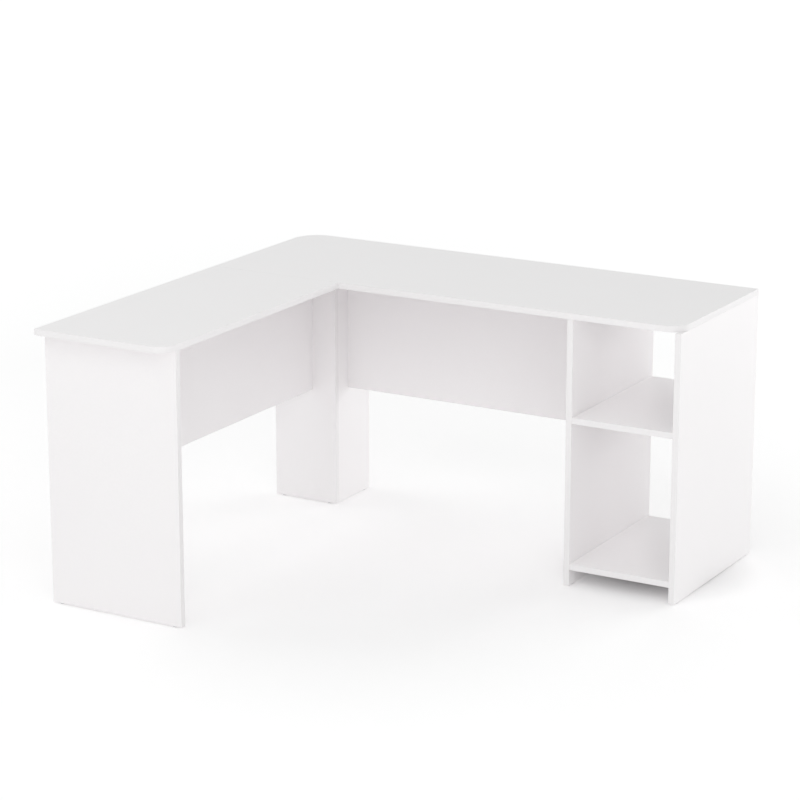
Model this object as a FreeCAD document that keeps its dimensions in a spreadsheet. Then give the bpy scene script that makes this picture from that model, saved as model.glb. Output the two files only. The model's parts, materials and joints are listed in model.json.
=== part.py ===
import FreeCAD, Part
import os
import re

import Sketcher
from FreeCAD import Placement, Rotation, Vector

# A flat-pack corner desk in melamine-faced board. The main wing runs along X at the back, the
# return wing comes forward on the left, and an open shelf tower carries the right end.
# Millimetres, +Z up, +Y towards the back. The origin is on the floor, under the middle of the
# desk's overall rectangle.
SIZES = {
    # overall sizes
    "main_length": 1355,
    "main_depth": 477,
    "return_reach": 1265,
    "return_depth": 385,
    "desk_height": 714,
    "board": 16,
    "edge_band": 1,
    "back_corner_radius": 70,
    "main_corner_radius": 50,
    "return_corner_radius": 45,
    # legs, modesty panels and shelves
    "end_overhang": 42,
    "post_width": 195,
    "post_depth": 180,
    "modesty_bottom": 322,
    "return_setback": 122,
    "main_setback": 114,
    "tower_width": 308,
    "middle_shelf_bottom": 430,
    "bottom_shelf_bottom": 45,
    "shelf_front_gap": 2,
    "shelf_back_gap": 10,
    # cam fittings
    "cam_reach": 24,
    "cam_diameter": 15,
    "cam_height": 12,
    "cam_recess": 0.5,
    "cam_slot_width": 1.5,
    "cam_slot_length": 8,
    "cam_slot_depth": 2,
    "bolt_bore": 8,
    "bolt_thread_diameter": 7,
    "bolt_thread_length": 11,
    "bolt_shank_diameter": 6,
    "bolt_neck_diameter": 4,
    "bolt_head_diameter": 7,
    "bolt_head_length": 4,
    "cover_diameter": 18,
    "cover_thickness": 0.5,
    # dowels
    "dowel_diameter": 8,
    "dowel_short_end": 10,
    "dowel_long_end": 20,
    # screws, seam plates and angle brackets
    "screw_diameter": 3.5,
    "screw_length": 14,
    "screw_head_diameter": 7,
    "screw_head_height": 2,
    "metal": 1.5,
    "metal_hole": 4.2,
    "plate_width": 20,
    "plate_length": 90,
    "plate_inner_holes": 30,
    "plate_outer_holes": 70,
    "bracket_width": 40,
    "bracket_leg": 20,
    "bracket_hole_spacing": 24,
    "bracket_hole_reach": 12,
    # glides
    "glide_height": 3,
    "glide_diameter": 14,
    "nail_diameter": 2,
    "nail_length": 14,
    # clearance around every fastener
    "clearance": 0.1,
}

# Planes that several boards share
LEFT_EDGE = "-main_length / 2"
FRONT_END = "-return_reach / 2"
MAIN_FRONT = "return_reach / 2 - main_depth"
UNDERSIDE = "desk_height - board"
UPRIGHT_LENGTH = "desk_height - board - glide_height"
MODESTY_HEIGHT = "desk_height - board - modesty_bottom"
TOWER_LEFT = "main_length / 2 - tower_width"

# Each rectangular board: its low corner, its size and the sides that carry an edge band
BOARDS = {
    "return_end_panel": (
        (LEFT_EDGE, "end_overhang - return_reach / 2", "glide_height"),
        ("return_depth", "board", UPRIGHT_LENGTH),
        ("left", "right"),
    ),
    "corner_post_front": (
        (LEFT_EDGE, "return_reach / 2 - post_depth", "glide_height"),
        ("post_width", "board", UPRIGHT_LENGTH),
        ("left", "right"),
    ),
    "corner_post_side": (
        ("post_width - board - main_length / 2", "return_reach / 2 - post_depth + board", "glide_height"),
        ("board", "post_depth - board", UPRIGHT_LENGTH),
        ("back",),
    ),
    "return_modesty_panel": (
        (f"return_setback - board + {LEFT_EDGE}", f"end_overhang + board + {FRONT_END}", "modesty_bottom"),
        ("board", "return_reach - post_depth - end_overhang - board", MODESTY_HEIGHT),
        ("bottom",),
    ),
    "main_modesty_panel": (
        ("post_width - main_length / 2", "return_reach / 2 - main_setback", "modesty_bottom"),
        ("main_length - post_width - tower_width", "board", MODESTY_HEIGHT),
        ("bottom",),
    ),
    "tower_inner_side": (
        (TOWER_LEFT, MAIN_FRONT, "glide_height"),
        ("board", "main_depth", UPRIGHT_LENGTH),
        ("front", "back"),
    ),
    "tower_outer_side": (
        ("main_length / 2 - board", MAIN_FRONT, "glide_height"),
        ("board", "main_depth", UPRIGHT_LENGTH),
        ("front", "back"),
    ),
    "tower_middle_shelf": (
        (f"{TOWER_LEFT} + board", f"{MAIN_FRONT} + shelf_front_gap", "middle_shelf_bottom"),
        ("tower_width - 2 * board", "main_depth - shelf_front_gap - shelf_back_gap", "board"),
        ("front", "back"),
    ),
    "tower_bottom_shelf": (
        (f"{TOWER_LEFT} + board", f"{MAIN_FRONT} + shelf_front_gap", "bottom_shelf_bottom"),
        ("tower_width - 2 * board", "main_depth - shelf_front_gap - shelf_back_gap", "board"),
        ("front", "back"),
    ),
}

LEFT, RIGHT = Vector(-1, 0, 0), Vector(1, 0, 0)
FRONT, BACK = Vector(0, -1, 0), Vector(0, 1, 0)
DOWN, UP = Vector(0, 0, -1), Vector(0, 0, 1)

# Cam joints: the board that takes the bolt in its face, the board that takes the cam near its
# end, the way from the first into the second, the side that the cam opens on, and where the
# fittings stand along the joint, as fractions of its length
CAM_JOINTS = [
    ("return_top", "return_end_panel", DOWN, BACK, (0.15, 0.85)),
    ("main_top", "corner_post_front", DOWN, BACK, (0.3,)),
    ("main_top", "corner_post_side", DOWN, LEFT, (0.3,)),
    ("main_top", "tower_inner_side", DOWN, LEFT, (0.15, 0.85)),
    ("main_top", "tower_outer_side", DOWN, LEFT, (0.15, 0.85)),
    ("return_end_panel", "return_modesty_panel", BACK, LEFT, (0.2, 0.8)),
    ("corner_post_front", "return_modesty_panel", FRONT, LEFT, (0.2, 0.8)),
    ("corner_post_side", "main_modesty_panel", RIGHT, BACK, (0.2, 0.8)),
    ("tower_inner_side", "main_modesty_panel", LEFT, BACK, (0.2, 0.8)),
    ("tower_inner_side", "tower_middle_shelf", RIGHT, DOWN, (0.15, 0.85)),
    ("tower_outer_side", "tower_middle_shelf", LEFT, DOWN, (0.15, 0.85)),
    ("tower_inner_side", "tower_bottom_shelf", RIGHT, DOWN, (0.15, 0.85)),
    ("tower_outer_side", "tower_bottom_shelf", LEFT, DOWN, (0.15, 0.85)),
    ("corner_post_front", "corner_post_side", BACK, LEFT, (0.1, 0.5, 0.9)),
]

# Dowel joints: the board that takes the short end, the board that takes the long end, the way
# from the first into the second, and the fractions along the joint
DOWEL_JOINTS = [
    ("main_top", "return_top", FRONT, (0.06, 0.42, 0.76)),
    ("return_top", "return_end_panel", DOWN, (0.5,)),
    ("main_top", "corner_post_front", DOWN, (0.7,)),
    ("main_top", "corner_post_side", DOWN, (0.7,)),
    ("main_top", "tower_inner_side", DOWN, (0.5,)),
    ("main_top", "tower_outer_side", DOWN, (0.5,)),
    ("return_end_panel", "return_modesty_panel", BACK, (0.5,)),
    ("corner_post_front", "return_modesty_panel", FRONT, (0.5,)),
    ("corner_post_side", "main_modesty_panel", RIGHT, (0.5,)),
    ("tower_inner_side", "main_modesty_panel", LEFT, (0.5,)),
    ("tower_inner_side", "tower_middle_shelf", RIGHT, (0.5,)),
    ("tower_outer_side", "tower_middle_shelf", LEFT, (0.5,)),
    ("tower_inner_side", "tower_bottom_shelf", RIGHT, (0.5,)),
    ("tower_outer_side", "tower_bottom_shelf", LEFT, (0.5,)),
]

# Glides: the uprights that stand on them, and the fractions along each lower edge
GLIDES = [
    ("return_end_panel", (0.06, 0.94)),
    ("corner_post_front", (0.12, 0.88)),
    ("corner_post_side", (0.85,)),
    ("tower_inner_side", (0.05, 0.95)),
    ("tower_outer_side", (0.05, 0.95)),
]

# Angle brackets behind the modesty panels: the panel, the side it shows to the brackets, and
# the fractions along its upper edge
BRACKETS = [
    ("return_modesty_panel", LEFT, (0.15, 0.5, 0.85)),
    ("main_modesty_panel", BACK, (0.2, 0.8)),
]

# Seam plates: fractions of the return top's width, and the spacings of their two pairs of holes
SEAM_PLATES = (0.13, 0.57, 0.89)
PLATE_SPACINGS = ("plate_inner_holes", "plate_outer_holes")

# How near an edge has to stand to the corner that it is looked for at
NEARNESS = 0.01


def bind(thing, prop, formula):
    """Bind a property to a formula in the sheet's aliases."""
    thing.setExpression(prop, re.sub(r"[a-z]\w*", r"Sizes.\g<0>", str(formula)))


def bind_place(thing, place):
    """Bind where an object stands to three formulas."""
    for axis, formula in zip("xyz", place):
        bind(thing, f".Placement.Base.{axis}", formula)


def size_sheet(doc):
    """The spreadsheet of driving dimensions."""
    sheet = doc.addObject("Spreadsheet::Sheet", "Sizes")
    for row, (alias, number) in enumerate(SIZES.items(), 1):
        sheet.set(f"A{row}", alias)
        sheet.set(f"B{row}", str(number))
        sheet.setAlias(f"B{row}", alias)
    doc.recompute()


def plain_box(doc, name, place, size):
    """A Part::Box with bound place and size."""
    box = doc.addObject("Part::Box", name)
    bind_place(box, place)
    for side, formula in zip(("Length", "Width", "Height"), size):
        bind(box, side, formula)
    return box


def cylinder(doc, name, place, length, diameter, direction=UP):
    """A Part::Cylinder that starts at a bound place and runs in a direction."""
    rod = doc.addObject("Part::Cylinder", name)
    rod.Placement = Placement(Vector(), Rotation(UP, direction))
    bind_place(rod, place)
    bind(rod, "Radius", f"({diameter}) / 2")
    bind(rod, "Height", length)
    return rod


def fused(doc, name, pieces):
    """Several pieces made one."""
    whole = doc.addObject("Part::MultiFuse", name)
    whole.Shapes = pieces
    return whole


def cut(doc, name, base, tool):
    """A piece with a tool taken out of it."""
    result = doc.addObject("Part::Cut", name)
    result.Base = base
    result.Tool = tool
    return result


def board_blank(doc, name, place, size, banded, inset):
    """A rectangular board, set in from each of its banded sides."""
    low = list(place)
    extent = list(size)
    for side in banded:
        axis = {"left": 0, "right": 0, "front": 1, "back": 1, "bottom": 2}[side]
        extent[axis] = f"{extent[axis]} - {inset}"
        if side in ("left", "front", "bottom"):
            low[axis] = f"{low[axis]} + {inset}"
    return plain_box(doc, name, low, extent)


def top_outline(body, name, length, depth, inset):
    """A sketch of a rectangular top, set in from all four sides, on the body's XY plane. Its
    lines are drawn roughly in place, and the bound distances put them right."""
    sketch = body.newObject("Sketcher::SketchObject", name)
    plane = next(part for part in body.Origin.OriginFeatures if part.Role == "XY_Plane")
    sketch.AttachmentSupport = [(plane, "")]
    sketch.MapMode = "FlatFace"
    rough = SIZES["board"]
    wide, deep = SIZES["return_reach"], SIZES["return_depth"]
    corners = [
        Vector(rough, rough, 0),
        Vector(wide, rough, 0),
        Vector(wide, deep, 0),
        Vector(rough, deep, 0),
    ]
    for start, end in zip(corners, corners[1:] + corners[:1]):
        sketch.addGeometry(Part.LineSegment(start, end))
    for line in range(4):
        sketch.addConstraint(Sketcher.Constraint("Coincident", line, 2, (line + 1) % 4, 1))
        sketch.addConstraint(Sketcher.Constraint("Vertical" if line % 2 else "Horizontal", line))
    distances = [
        ("DistanceX", 0, 1, inset),
        ("DistanceY", 0, 1, inset),
        ("DistanceX", 2, 1, f"{length} - {inset}"),
        ("DistanceY", 2, 1, f"{depth} - {inset}"),
    ]
    for kind, line, end, formula in distances:
        number = sketch.addConstraint(Sketcher.Constraint(kind, -1, 1, line, end, rough))
        bind(sketch, f"Constraints[{number}]", formula)
    return sketch


def upright_edge(shape, x, y):
    """The name of the vertical edge that stands at x, y."""
    for number, edge in enumerate(shape.Edges, 1):
        if all(abs(end.X - x) < NEARNESS and abs(end.Y - y) < NEARNESS for end in edge.Vertexes):
            return f"Edge{number}"
    raise ValueError(f"no vertical edge at {x}, {y}")


def top_blank(doc, name, place, length, depth, rounds, inset):
    """A top with its rounded corners, set in from all four sides. Each round is the two sides
    that meet at the corner, and its radius."""
    body = doc.addObject("PartDesign::Body", name)
    sketch = top_outline(body, f"{name}_outline", length, depth, inset)
    pad = body.newObject("PartDesign::Pad", f"{name}_pad")
    pad.Profile = sketch
    bind(pad, "Length", "board")
    doc.recompute()
    tip = pad
    for number, (side_x, side_y, radius) in enumerate(rounds):
        box = tip.Shape.BoundBox
        x = box.XMin if side_x == "left" else box.XMax
        y = box.YMin if side_y == "front" else box.YMax
        fillet = body.newObject("PartDesign::Fillet", f"{name}_round{number}")
        fillet.Base = (tip, [upright_edge(tip.Shape, x, y)])
        bind(fillet, "Radius", f"{radius} - {inset}")
        doc.recompute()
        tip = fillet
    bind_place(body, place)
    return body


def blank_pair(doc, name, maker, *shape):
    """A board's core, and the band that covers its edges, before drilling."""
    full = maker(doc, f"{name}_full", *shape, "0")
    core = maker(doc, f"{name}_core", *shape, "edge_band")
    return core, cut(doc, f"{name}_band_blank", full, core)


def all_blanks(doc):
    """Every board's core and band, by the board's name."""
    blanks = {}
    main_rounds = [
        ("left", "back", "back_corner_radius"),
        ("right", "front", "main_corner_radius"),
    ]
    return_rounds = [("right", "front", "return_corner_radius")]
    blanks["main_top"] = blank_pair(
        doc, "main_top", top_blank,
        (LEFT_EDGE, MAIN_FRONT, UNDERSIDE), "main_length", "main_depth", main_rounds,
    )
    blanks["return_top"] = blank_pair(
        doc, "return_top", top_blank,
        (LEFT_EDGE, FRONT_END, UNDERSIDE), "return_depth", "return_reach - main_depth", return_rounds,
    )
    for name, (place, size, banded) in BOARDS.items():
        blanks[name] = blank_pair(doc, name, board_blank, place, size, banded)
    doc.recompute()
    return blanks


def overall_box(blanks, name):
    """A board's outer box, with its bands."""
    box = blanks[name][0].Shape.BoundBox
    box.add(blanks[name][1].Shape.BoundBox)
    return box


def edge_points(box, direction, fractions):
    """Points on the centre line of a board's narrow face: the face that the direction enters."""
    low = Vector(box.XMin, box.YMin, box.ZMin)
    high = Vector(box.XMax, box.YMax, box.ZMax)
    extent = high - low
    entry = max(range(3), key=lambda axis: abs(direction[axis]))
    thin = min((axis for axis in range(3) if axis != entry), key=lambda axis: extent[axis])
    along = 3 - entry - thin
    points = []
    for fraction in fractions:
        point = (low + high) * 0.5
        point[entry] = low[entry] if direction[entry] > 0 else high[entry]
        point[along] = low[along] + fraction * extent[along]
        points.append(point)
    return points


def facing(point, along, opening):
    """A placement whose Z runs along a direction and whose X faces an opening."""
    return Placement(point, Rotation(opening, along.cross(opening), along, "ZXY"))


def cam_fittings(doc):
    """One cam joint about its own origin: the boards meet at Z 0, the bolt's thread is below it
    and the cam stands above it, open towards +X."""
    head_start = "cam_reach - bolt_head_length / 2"
    steps = [
        ("-bolt_thread_length", "bolt_thread_length", "bolt_thread_diameter"),
        ("0", f"{head_start} - bolt_head_length / 2", "bolt_shank_diameter"),
        (f"{head_start} - bolt_head_length / 2", "bolt_head_length / 2", "bolt_neck_diameter"),
        (head_start, "bolt_head_length", "bolt_head_diameter"),
    ]
    rods = [
        cylinder(doc, f"bolt_step{number}", ("0", "0", start), length, diameter)
        for number, (start, length, diameter) in enumerate(steps)
    ]
    bolt = fused(doc, "bolt_master", rods)

    cam_floor = "board / 2 - cam_height - cam_recess"
    disc = cylinder(
        doc, "cam_disc", (cam_floor, "0", "cam_reach"),
        "cam_height", "cam_diameter - 2 * clearance", RIGHT,
    )
    socket = cylinder(
        doc, "cam_socket", ("0", "0", "cam_reach - cam_diameter"),
        "cam_diameter + bolt_head_length", "bolt_bore",
    )
    slot_floor = "board / 2 - cam_recess - cam_slot_depth"
    slots = [
        plain_box(
            doc, "cam_slot_across",
            (slot_floor, "-cam_slot_length / 2", "cam_reach - cam_slot_width / 2"),
            ("cam_slot_depth", "cam_slot_length", "cam_slot_width"),
        ),
        plain_box(
            doc, "cam_slot_along",
            (slot_floor, "-cam_slot_width / 2", "cam_reach - cam_slot_length / 2"),
            ("cam_slot_depth", "cam_slot_width", "cam_slot_length"),
        ),
    ]
    cam = cut(doc, "cam_master", disc, fused(doc, "cam_hollows", [socket] + slots))

    cover = cylinder(
        doc, "cover_master", ("board / 2", "0", "cam_reach"),
        "cover_thickness", "cover_diameter", RIGHT,
    )

    bores = [
        cylinder(
            doc, "bolt_pilot", ("0", "0", "-bolt_thread_length - clearance"),
            "bolt_thread_length + clearance", "bolt_thread_diameter + 2 * clearance",
        ),
        cylinder(doc, "bolt_channel", ("0", "0", "0"), "cam_reach", "bolt_bore"),
        cylinder(doc, "cam_pocket", (cam_floor, "0", "cam_reach"), "board", "cam_diameter", RIGHT),
    ]
    return bolt, cam, cover, fused(doc, "cam_drilling", bores)


def dowel_fittings(doc):
    """One dowel and its bore, with the boards meeting at Z 0."""
    length = "dowel_short_end + dowel_long_end"
    dowel = cylinder(doc, "dowel_master", ("0", "0", "-dowel_short_end"), length, "dowel_diameter")
    bore = cylinder(
        doc, "dowel_drilling", ("0", "0", "-dowel_short_end - clearance"),
        f"{length} + 2 * clearance", "dowel_diameter + 2 * clearance",
    )
    return dowel, bore


def screw_fittings(doc):
    """One screw that enters along +Z, with its head below Z 0, and its pilot hole."""
    head = cylinder(
        doc, "screw_head", ("0", "0", "-screw_head_height"),
        "screw_head_height", "screw_head_diameter",
    )
    shank = cylinder(doc, "screw_shank", ("0", "0", "0"), "screw_length", "screw_diameter")
    pilot = cylinder(
        doc, "screw_drilling", ("0", "0", "0"),
        "screw_length + clearance", "screw_diameter + 2 * clearance",
    )
    return fused(doc, "screw_master", [head, shank]), pilot


def glide_fittings(doc):
    """One nail-in glide below Z 0, and the hole that its nail makes."""
    pad = cylinder(doc, "glide_pad", ("0", "0", "-glide_height"), "glide_height", "glide_diameter")
    nail = cylinder(doc, "glide_nail", ("0", "0", "0"), "nail_length", "nail_diameter")
    hole = cylinder(
        doc, "glide_drilling", ("0", "0", "0"),
        "nail_length + clearance", "nail_diameter + 2 * clearance",
    )
    return fused(doc, "glide_master", [pad, nail]), hole


def seam_plate(doc):
    """A flat steel plate below Z 0, long in Y, with four screw holes in a line."""
    blank = plain_box(
        doc, "plate_blank", ("-plate_width / 2", "-plate_length / 2", "-metal"),
        ("plate_width", "plate_length", "metal"),
    )
    places = [f"{half} * {spacing}" for spacing in PLATE_SPACINGS for half in (-0.5, 0.5)]
    holes = [
        cylinder(doc, f"plate_hole{number}", ("0", place, "-2 * metal"), "3 * metal", "metal_hole")
        for number, place in enumerate(places)
    ]
    return cut(doc, "plate_master", blank, fused(doc, "plate_holes", holes))


def angle_bracket(doc):
    """A steel angle: one leg lies under a top along +X, the other hangs down a panel at X 0."""
    top_leg = plain_box(
        doc, "bracket_top_leg", ("0", "-bracket_width / 2", "-metal"),
        ("bracket_leg", "bracket_width", "metal"),
    )
    panel_leg = plain_box(
        doc, "bracket_panel_leg", ("0", "-bracket_width / 2", "-bracket_leg"),
        ("metal", "bracket_width", "bracket_leg"),
    )
    holes = []
    for number, place in enumerate(("-bracket_hole_spacing / 2", "bracket_hole_spacing / 2")):
        holes.append(cylinder(
            doc, f"bracket_top_hole{number}", ("bracket_hole_reach", place, "-2 * metal"),
            "3 * metal", "metal_hole",
        ))
        holes.append(cylinder(
            doc, f"bracket_panel_hole{number}", ("-metal", place, "-bracket_hole_reach"),
            "3 * metal", "metal_hole", RIGHT,
        ))
    angle = fused(doc, "bracket_angle", [top_leg, panel_leg])
    return cut(doc, "bracket_master", angle, fused(doc, "bracket_holes", holes))


def copies(doc, name, master, placements):
    """A group of separate copies of one piece."""
    links = []
    for number, placement in enumerate(placements):
        link = doc.addObject("App::Link", f"{name}_{number}")
        link.LinkedObject = master
        link.LinkTransform = True
        link.Placement = placement
        links.append(link)
    group = doc.addObject("Part::Compound", name)
    group.Links = links
    return group


class Drillings:
    """The bores that each board takes, collected joint by joint."""

    def __init__(self):
        self.sites = {}

    def add(self, board, bore, placement):
        """Note a bore in a board."""
        self.sites.setdefault(board, {}).setdefault(bore.Name, (bore, []))[1].append(placement)

    def tool(self, doc, board):
        """All of a board's bores as one cutting tool."""
        groups = [
            copies(doc, f"{board}_{bore.Name}", bore, placements)
            for bore, placements in self.sites[board].values()
        ]
        tool = doc.addObject("Part::Compound", f"{board}_drillings")
        tool.Links = groups
        return tool


def cam_places(blanks, drillings, bore):
    """Where the cam joints stand, with their bores noted."""
    places = []
    for face_board, edge_board, direction, opening, fractions in CAM_JOINTS:
        for point in edge_points(overall_box(blanks, edge_board), direction, fractions):
            place = facing(point, direction, opening)
            drillings.add(face_board, bore, place)
            drillings.add(edge_board, bore, place)
            places.append(place)
    return places


def dowel_places(blanks, drillings, bore):
    """Where the dowels stand, with their bores noted."""
    places = []
    for short_board, long_board, direction, fractions in DOWEL_JOINTS:
        for point in edge_points(overall_box(blanks, long_board), direction, fractions):
            place = Placement(point, Rotation(UP, direction))
            drillings.add(short_board, bore, place)
            drillings.add(long_board, bore, place)
            places.append(place)
    return places


def glide_places(blanks, drillings, bore):
    """Where the glides stand, with their nail holes noted."""
    places = []
    for board, fractions in GLIDES:
        for point in edge_points(overall_box(blanks, board), UP, fractions):
            place = Placement(point, Rotation())
            drillings.add(board, bore, place)
            places.append(place)
    return places


def plate_places(blanks, drillings, bore):
    """Where the seam plates stand, and where their screws stand with the pilot holes noted."""
    box = overall_box(blanks, "return_top")
    plates = []
    screws = []
    reach = [half * SIZES[spacing] for spacing in PLATE_SPACINGS for half in (-0.5, 0.5)]
    for fraction in SEAM_PLATES:
        x = box.XMin + fraction * box.XLength
        plates.append(Placement(Vector(x, box.YMax, box.ZMin), Rotation()))
        for offset in reach:
            place = Placement(Vector(x, box.YMax + offset, box.ZMin - SIZES["metal"]), Rotation())
            drillings.add("main_top" if offset > 0 else "return_top", bore, place)
            screws.append(place)
    return plates, screws


def bracket_places(blanks, drillings, bore):
    """Where the brackets stand, and where their screws stand with the pilot holes noted."""
    brackets = []
    screws = []
    main_front = overall_box(blanks, "main_top").YMin
    for board, side, fractions in BRACKETS:
        for point in edge_points(overall_box(blanks, board), DOWN, fractions):
            bracket = facing(point + side * (SIZES["board"] / 2), UP, side)
            brackets.append(bracket)
            top = "main_top" if point.y > main_front else "return_top"
            for spread in (-SIZES["bracket_hole_spacing"] / 2, SIZES["bracket_hole_spacing"] / 2):
                into_top = Vector(SIZES["bracket_hole_reach"], spread, -SIZES["metal"])
                into_panel = Vector(SIZES["metal"], spread, -SIZES["bracket_hole_reach"])
                top_screw = bracket * Placement(into_top, Rotation())
                panel_screw = bracket * Placement(into_panel, Rotation(UP, LEFT))
                drillings.add(top, bore, top_screw)
                drillings.add(board, bore, panel_screw)
                screws += [top_screw, panel_screw]
    return brackets, screws


def build(doc):
    """The whole desk: the sub-parts by name."""
    size_sheet(doc)
    blanks = all_blanks(doc)
    bolt, cam, cover, cam_bore = cam_fittings(doc)
    dowel, dowel_bore = dowel_fittings(doc)
    screw, screw_bore = screw_fittings(doc)
    glide, glide_bore = glide_fittings(doc)
    doc.recompute()

    drillings = Drillings()
    cams = cam_places(blanks, drillings, cam_bore)
    dowels = dowel_places(blanks, drillings, dowel_bore)
    glides = glide_places(blanks, drillings, glide_bore)
    plates, plate_screws = plate_places(blanks, drillings, screw_bore)
    brackets, bracket_screws = bracket_places(blanks, drillings, screw_bore)

    pieces = {
        "cam_bolts": copies(doc, "cam_bolts", bolt, cams),
        "cam_locks": copies(doc, "cam_locks", cam, cams),
        "cam_covers": copies(doc, "cam_covers", cover, cams),
        "wood_dowels": copies(doc, "wood_dowels", dowel, dowels),
        "floor_glides": copies(doc, "floor_glides", glide, glides),
        "seam_plates": copies(doc, "seam_plates", seam_plate(doc), plates),
        "angle_brackets": copies(doc, "angle_brackets", angle_bracket(doc), brackets),
        "wood_screws": copies(doc, "wood_screws", screw, plate_screws + bracket_screws),
    }
    for name, (core, band) in blanks.items():
        pieces[name] = cut(doc, name, core, drillings.tool(doc, name))
        band_name = f"{name}_edge_band"
        if name in ("main_top", "return_top"):
            pieces[band_name] = cut(doc, band_name, band, drillings.tool(doc, name))
        else:
            pieces[band_name] = band
    for name, piece in pieces.items():
        piece.Label = name
    doc.recompute()
    return pieces


def check(doc, pieces):
    """Stop if any object failed, or if a sub-part has no valid shape."""
    failed = [thing.Name for thing in doc.Objects if {"Invalid", "Error"} & set(thing.State)]
    for name, piece in pieces.items():
        if piece.Shape.isNull() or not piece.Shape.isValid() or piece.Shape.Volume <= 0:
            failed.append(name)
    if failed:
        raise RuntimeError(f"failed objects: {failed}")


def write(pieces):
    """One STEP file for each sub-part."""
    os.makedirs("parts", exist_ok=True)
    for name, piece in pieces.items():
        piece.Shape.exportStep(f"parts/{name}.step")
        print(f"{name}: {len(piece.Shape.Solids)} solids, {piece.Shape.Volume / 1000:.1f} cm3")


document = FreeCAD.newDocument("CornerDesk")
sub_parts = build(document)
check(document, sub_parts)
write(sub_parts)
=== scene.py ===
import json
import math

import bmesh
import bpy
from mathutils import Matrix, Vector


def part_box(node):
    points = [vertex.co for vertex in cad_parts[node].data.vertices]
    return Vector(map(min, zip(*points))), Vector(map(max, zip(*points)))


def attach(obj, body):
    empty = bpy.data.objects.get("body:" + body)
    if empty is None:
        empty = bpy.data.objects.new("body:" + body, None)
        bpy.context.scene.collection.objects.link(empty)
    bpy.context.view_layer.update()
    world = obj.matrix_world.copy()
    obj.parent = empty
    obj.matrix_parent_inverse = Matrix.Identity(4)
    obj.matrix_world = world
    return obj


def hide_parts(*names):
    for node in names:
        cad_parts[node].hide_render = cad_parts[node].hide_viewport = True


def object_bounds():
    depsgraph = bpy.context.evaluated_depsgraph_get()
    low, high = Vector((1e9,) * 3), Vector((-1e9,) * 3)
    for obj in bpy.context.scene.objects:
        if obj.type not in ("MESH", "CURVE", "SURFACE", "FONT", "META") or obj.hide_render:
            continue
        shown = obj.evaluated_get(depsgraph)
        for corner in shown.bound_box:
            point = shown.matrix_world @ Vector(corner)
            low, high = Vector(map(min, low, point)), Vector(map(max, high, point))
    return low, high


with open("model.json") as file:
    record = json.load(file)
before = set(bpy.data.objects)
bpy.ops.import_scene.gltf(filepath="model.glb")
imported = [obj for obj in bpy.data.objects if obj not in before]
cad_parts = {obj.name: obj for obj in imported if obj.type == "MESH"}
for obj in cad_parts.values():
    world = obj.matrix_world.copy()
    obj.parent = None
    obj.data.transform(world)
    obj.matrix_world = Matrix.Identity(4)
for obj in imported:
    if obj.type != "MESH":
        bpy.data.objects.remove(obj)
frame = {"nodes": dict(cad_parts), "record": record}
cad_low, cad_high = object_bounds()

# Looks for the corner desk: white melamine boards with rounded plastic edge bands, detailed
# fastenings behind and under them, and a pale studio. Metres, in the same frame as the CAD model.

MM = 0.001
TINY = MM / 1000

# Edges steeper than SHARP_ANGLE degrees stay sharp in smooth shading. Edges steeper than
# SOFTENED_ANGLE degrees are softened on a cut piece.
SHARP_ANGLE = 35
SOFTENED_ANGLE = 40
SOFTENING_STEPS = 2

# Roundings of the edge bands, and the fine joint line where a band meets its board
BAND_ROUND = 0.45 * MM
BAND_ROUND_STEPS = 4
JOINT_LINE = 0.08 * MM
BAND_THICKNESS = 1 * MM
CORNER_STEPS = 24

# Corners of the two tops, as the CAD rounds them: (left, front), (right, front), (right, back)
# and (left, back)
TOP_CORNERS = {
    "main_top": (0, 50 * MM, 0, 70 * MM),
    "return_top": (0, 45 * MM, 0, 0),
}

# Fastenings. A thread's crest is its outer radius and its core is the inner one. A ridge's half
# width is a fraction of the thread's pitch.
POINT_RADIUS = 0.1 * MM
ROUND_STEPS = 24
RIDGE_HALF_WIDTH = 0.28
ROWS_PER_PITCH = 6
ARC_STEPS = 5

SCREW_HEAD = 3.5 * MM
SCREW_HEAD_HEIGHT = 2 * MM
SCREW_HEAD_RIM = SCREW_HEAD_HEIGHT / 4
SCREW_CREST = 1.75 * MM
SCREW_CORE = 0.68 * SCREW_CREST
SCREW_PITCH = 1.4 * MM
SCREW_NECK = 1 * MM
SCREW_THREAD_START = 1.2 * MM
SCREW_LENGTH = 14 * MM
SCREW_THREAD_END = SCREW_LENGTH - 3 * MM
SCREW_TAPER_START = SCREW_LENGTH - 2 * MM
SCREW_TAPER_RADIUS = 0.8 * SCREW_CORE
SCREW_SOFTENING = 0.05 * MM
RECESS_LENGTH = 3.6 * MM
RECESS_WIDTH = 0.8 * MM
RECESS_TOP = -1.1 * SCREW_HEAD_HEIGHT
RECESS_BOTTOM = -0.35 * SCREW_HEAD_HEIGHT

BOLT_CREST = 3.5 * MM
BOLT_CORE = 0.72 * BOLT_CREST
BOLT_END_RADIUS = 0.5 * BOLT_CREST
BOLT_PITCH = 2.4 * MM
BOLT_THREAD_LENGTH = 11 * MM
BOLT_THREAD_INSET = 1 * MM
BOLT_COLLAR = 0.6 * MM
BOLT_SHANK = 3 * MM
BOLT_NECK = BOLT_SHANK - 1 * MM
BOLT_NECK_LENGTH = 2 * MM
BOLT_NECK_SLOPE = 0.4 * MM
BOLT_REACH = 26 * MM
BOLT_HEAD_START = BOLT_REACH - 4 * MM
BOLT_HEAD_EDGE = 0.3 * MM
BOLT_HEAD_ROUND = 2 * MM

DOWEL_RADIUS = 4 * MM
DOWEL_LENGTH = 30 * MM
DOWEL_FLUTES = 18
DOWEL_FLUTE_DEPTH = 0.3 * MM
DOWEL_CHAMFER_LENGTH = 1.2 * MM
DOWEL_CHAMFER_DEPTH = 1 * MM
STEPS_PER_FLUTE = 6

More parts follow.
